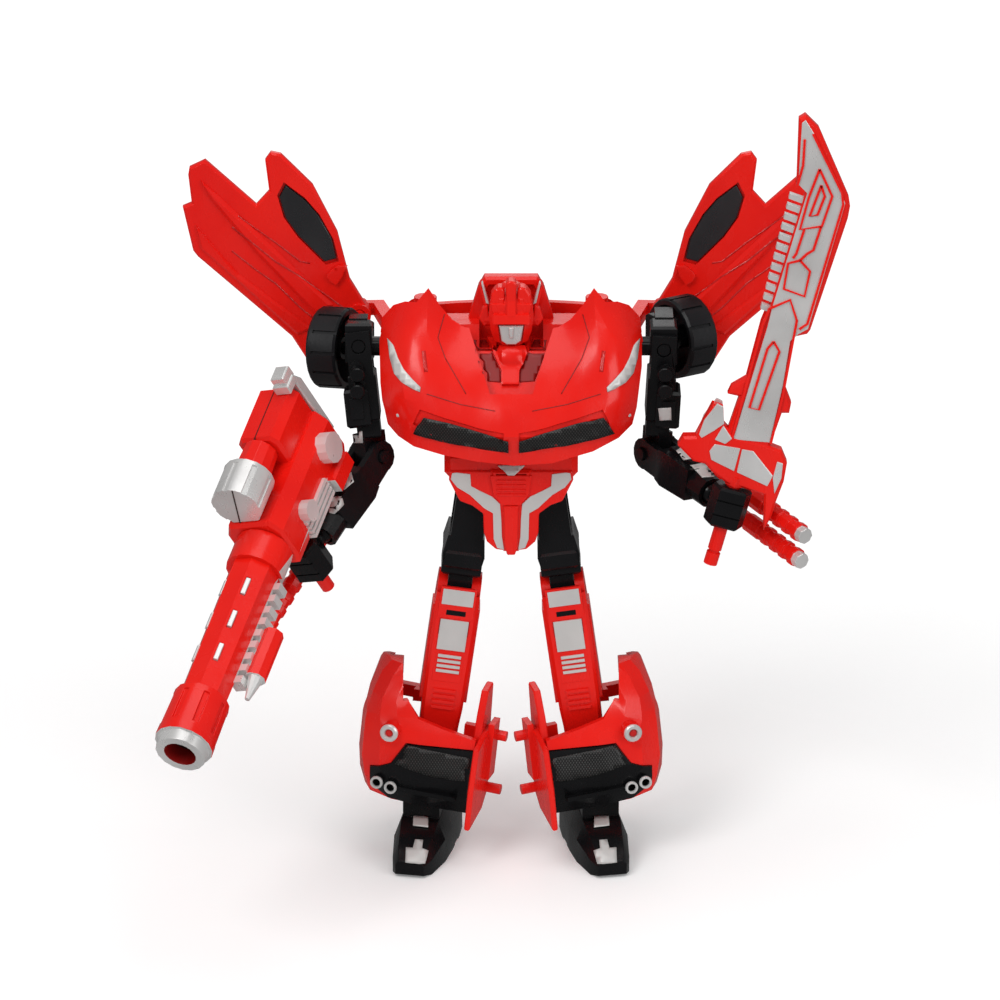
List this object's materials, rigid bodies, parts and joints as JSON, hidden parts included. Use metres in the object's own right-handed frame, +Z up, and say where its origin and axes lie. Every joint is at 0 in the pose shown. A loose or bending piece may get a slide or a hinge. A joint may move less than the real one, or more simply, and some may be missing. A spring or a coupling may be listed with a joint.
{
  "type": "transforming robot car toy",
  "caption": "Red, black and silver toy sports car folded into a standing robot, car doors as wings, holding a toothed sword and a long cannon.",
  "frame": {"origin": "floor point under the middle of the bounding box", "axes": "+Z up, -Y the way the robot faces, +X towards the hand with the sword"},
  "size_m": [0.2118, 0.1678, 0.2543],
  "materials": {
    "red_plastic": "gloss",
    "black_plastic": "gloss",
    "silver_plastic": "silver paint",
    "window_plastic": "smoked black",
    "wheel_plastic": "satin"
  },
  "bodies": {
    "torso": {"chest_frame": "red_plastic", "chest_collar": "red_plastic", "waist_cover": "red_plastic", "waist_side_left": "red_plastic", "waist_side_right": "red_plastic", "back_shell": "red_plastic"},
    "head": {"head_helmet": "red_plastic", "face_plate": "silver_plastic"},
    "hood": {"hood_shell": "red_plastic"},
    "canopy": {"canopy_panel": "red_plastic"},
    "door_link_left": {"door_link_left": "red_plastic"},
    "door_left": {"door_left": "red_plastic", "door_glass_left": "window_plastic"},
    "shoulder_left": {"shoulder_bracket_left": "black_plastic"},
    "upper_arm_left": {"upper_arm_left": "black_plastic"},
    "forearm_left": {"forearm_left": "black_plastic", "exhaust_pipes_left": "red_plastic"},
    "hand_left": {"hand_left": "black_plastic"},
    "wheel_carrier_left": {"wheel_carrier_left": "black_plastic"},
    "front_wheel_left": {"front_wheel_left": "wheel_plastic"},
    "hip_left": {"hip_block_left": "black_plastic"},
    "thigh_left": {"thigh_left": "black_plastic"},
    "shin_left": {"shin_left": "red_plastic", "calf_shell_left": "red_plastic", "calf_inner_plate_left": "red_plastic", "rear_bumper_left": "black_plastic"},
    "foot_left": {"foot_left": "black_plastic"},
    "rear_wheel_left": {"rear_wheel_left": "wheel_plastic"},
    "door_link_right": {"door_link_right": "red_plastic"},
    "door_right": {"door_right": "red_plastic", "door_glass_right": "window_plastic"},
    "shoulder_right": {"shoulder_bracket_right": "black_plastic"},
    "upper_arm_right": {"upper_arm_right": "black_plastic"},
    "forearm_right": {"forearm_right": "black_plastic", "exhaust_pipes_right": "red_plastic"},
    "hand_right": {"hand_right": "black_plastic"},
    "wheel_carrier_right": {"wheel_carrier_right": "black_plastic"},
    "front_wheel_right": {"front_wheel_right": "wheel_plastic"},
    "hip_right": {"hip_block_right": "black_plastic"},
    "thigh_right": {"thigh_right": "black_plastic"},
    "shin_right": {"shin_right": "red_plastic", "calf_shell_right": "red_plastic", "calf_inner_plate_right": "red_plastic", "rear_bumper_right": "black_plastic"},
    "foot_right": {"foot_right": "black_plastic"},
    "rear_wheel_right": {"rear_wheel_right": "wheel_plastic"},
    "sword": {"sword": "red_plastic"},
    "cannon": {"cannon_breech": "red_plastic", "cannon_barrel": "red_plastic", "cannon_muzzle": "red_plastic", "cannon_scope": "silver_plastic", "cannon_rail": "silver_plastic"}
  },
  "joints": [
    {"name": "head_turn", "type": "hinge", "parent": "torso", "child": "head", "pos_m": [0.00161, 0.03672, 0.175], "axis": [0, 0, 1], "range_deg": [-25, 25]},
    {"name": "hood_fold", "type": "hinge", "parent": "torso", "child": "hood", "pos_m": [0.00161, 0.03872, 0.169], "axis": [1, 0, 0], "range_deg": [-10, 0]},
    {"name": "canopy_fold", "type": "hinge", "parent": "torso", "child": "canopy", "pos_m": [0.00161, 0.05032, 0.1788], "axis": [1, 0, 0], "range_deg": [-25, 0]},
    {"name": "door_link_left_swing", "type": "hinge", "parent": "torso", "child": "door_link_left", "pos_m": [-0.02539, 0.04972, 0.178], "axis": [0, 0, 1], "range_deg": [-20, 0]},
    {"name": "door_left_turn", "type": "hinge", "parent": "door_link_left", "child": "door_left", "pos_m": [-0.04689, 0.07472, 0.1665], "axis": [0, 1, 0], "range_deg": [-12, 12]},
    {"name": "shoulder_left_swing", "type": "hinge", "parent": "torso", "child": "shoulder_left", "pos_m": [-0.04619, 0.03872, 0.169], "axis": [1, 0, 0], "range_deg": [-15, 5]},
    {"name": "shoulder_left_raise", "type": "hinge", "parent": "shoulder_left", "child": "upper_arm_left", "pos_m": [-0.04619, 0.03872, 0.169], "axis": [0, 0.9848, -0.1736], "range_deg": [0, 8]},
    {"name": "elbow_left", "type": "hinge", "parent": "upper_arm_left", "child": "forearm_left", "pos_m": [-0.04243, 0.0325, 0.13374], "axis": [0.7032, -0.6835, 0.1956], "range_deg": [-6, 10]},
    {"name": "wrist_left", "type": "hinge", "parent": "forearm_left", "child": "hand_left", "pos_m": [-0.06176, 0.00568, 0.1095], "axis": [0.4715, 0.6543, 0.5913], "range_deg": [-4, 4]},
    {"name": "wheel_fold_left", "type": "hinge", "parent": "shoulder_left", "child": "wheel_carrier_left", "pos_m": [-0.04689, 0.05044, 0.16693], "axis": [0, 0.1736, 0.9848], "range_deg": [-15, 0]},
    {"name": "front_wheel_left_spin", "type": "hinge", "parent": "wheel_carrier_left", "child": "front_wheel_left", "pos_m": [-0.05398, 0.05586, 0.16192], "axis": [0.9272, -0.3689, 0.065], "continuous": true},
    {"name": "hip_left_swing", "type": "hinge", "parent": "torso", "child": "hip_left", "pos_m": [-0.01099, 0.03672, 0.117], "axis": [1, 0, 0], "range_deg": [-12, 12]},
    {"name": "hip_left_spread", "type": "hinge", "parent": "hip_left", "child": "thigh_left", "pos_m": [-0.01099, 0.03672, 0.117], "axis": [0, 1, 0], "range_deg": [0, 8]},
    {"name": "knee_left", "type": "hinge", "parent": "thigh_left", "child": "shin_left", "pos_m": [-0.01516, 0.03672, 0.08729], "axis": [0.9903, 0, -0.1392], "range_deg": [0, 25]},
    {"name": "ankle_left", "type": "hinge", "parent": "shin_left", "child": "foot_left", "pos_m": [-0.02449, 0.03672, 0.02094], "axis": [1, 0, 0], "range_deg": [-4, 4]},
    {"name": "rear_wheel_left_spin", "type": "hinge", "parent": "shin_left", "child": "rear_wheel_left", "pos_m": [-0.03786, 0.04676, 0.03039], "axis": [0.9606, -0.2588, -0.101], "continuous": true},
    {"name": "door_link_right_swing", "type": "hinge", "parent": "torso", "child": "door_link_right", "pos_m": [0.02861, 0.04972, 0.178], "axis": [0, 0, 1], "range_deg": [0, 20]},
    {"name": "door_right_turn", "type": "hinge", "parent": "door_link_right", "child": "door_right", "pos_m": [0.05011, 0.07472, 0.1665], "axis": [0, 1, 0], "range_deg": [-12, 12]},
    {"name": "shoulder_right_swing", "type": "hinge", "parent": "torso", "child": "shoulder_right", "pos_m": [0.04941, 0.03872, 0.169], "axis": [1, 0, 0], "range_deg": [-20, 10]},
    {"name": "shoulder_right_raise", "type": "hinge", "parent": "shoulder_right", "child": "upper_arm_right", "pos_m": [0.04941, 0.03872, 0.169], "axis": [0, 1, 0], "range_deg": [-8, 0]},
    {"name": "elbow_right", "type": "hinge", "parent": "upper_arm_right", "child": "forearm_right", "pos_m": [0.04753, 0.03872, 0.13305], "axis": [0.8469, 0.5299, -0.0444], "range_deg": [-8, 20]},
    {"name": "wrist_right", "type": "hinge", "parent": "forearm_right", "child": "hand_right", "pos_m": [0.06888, 0.00414, 0.12764], "axis": [-0.5208, 0.8434, 0.132], "range_deg": [-6, 6]},
    {"name": "wheel_fold_right", "type": "hinge", "parent": "shoulder_right", "child": "wheel_carrier_right", "pos_m": [0.05011, 0.05062, 0.169], "axis": [0, 0, 1], "range_deg": [-15, 0]},
    {"name": "front_wheel_right_spin", "type": "hinge", "parent": "wheel_carrier_right", "child": "front_wheel_right", "pos_m": [0.05589, 0.05807, 0.165], "axis": [0.8387, 0.5446, 0], "continuous": true},
    {"name": "hip_right_swing", "type": "hinge", "parent": "torso", "child": "hip_right", "pos_m": [0.01421, 0.03672, 0.117], "axis": [1, 0, 0], "range_deg": [-12, 12]},
    {"name": "hip_right_spread", "type": "hinge", "parent": "hip_right", "child": "thigh_right", "pos_m": [0.01421, 0.03672, 0.117], "axis": [0, 1, 0], "range_deg": [-8, 0]},
    {"name": "knee_right", "type": "hinge", "parent": "thigh_right", "child": "shin_right", "pos_m": [0.01839, 0.03672, 0.08729], "axis": [0.9903, 0, 0.1392], "range_deg": [0, 25]},
    {"name": "ankle_right", "type": "hinge", "parent": "shin_right", "child": "foot_right", "pos_m": [0.02771, 0.03672, 0.02094], "axis": [1, 0, 0], "range_deg": [-4, 4]},
    {"name": "rear_wheel_right_spin", "type": "hinge", "parent": "shin_right", "child": "rear_wheel_right", "pos_m": [0.04109, 0.04676, 0.03039], "axis": [0.9606, 0.2588, 0.101], "continuous": true},
    {"name": "sword_pull", "type": "slide", "parent": "hand_right", "child": "sword", "axis": [0.2605, 0, 0.9655], "range_m": [0, 0.02]},
    {"name": "cannon_pull", "type": "slide", "parent": "hand_left", "child": "cannon", "axis": [-0.4299, -0.3609, 0.8276], "range_m": [0, 0.015]}
  ]
}
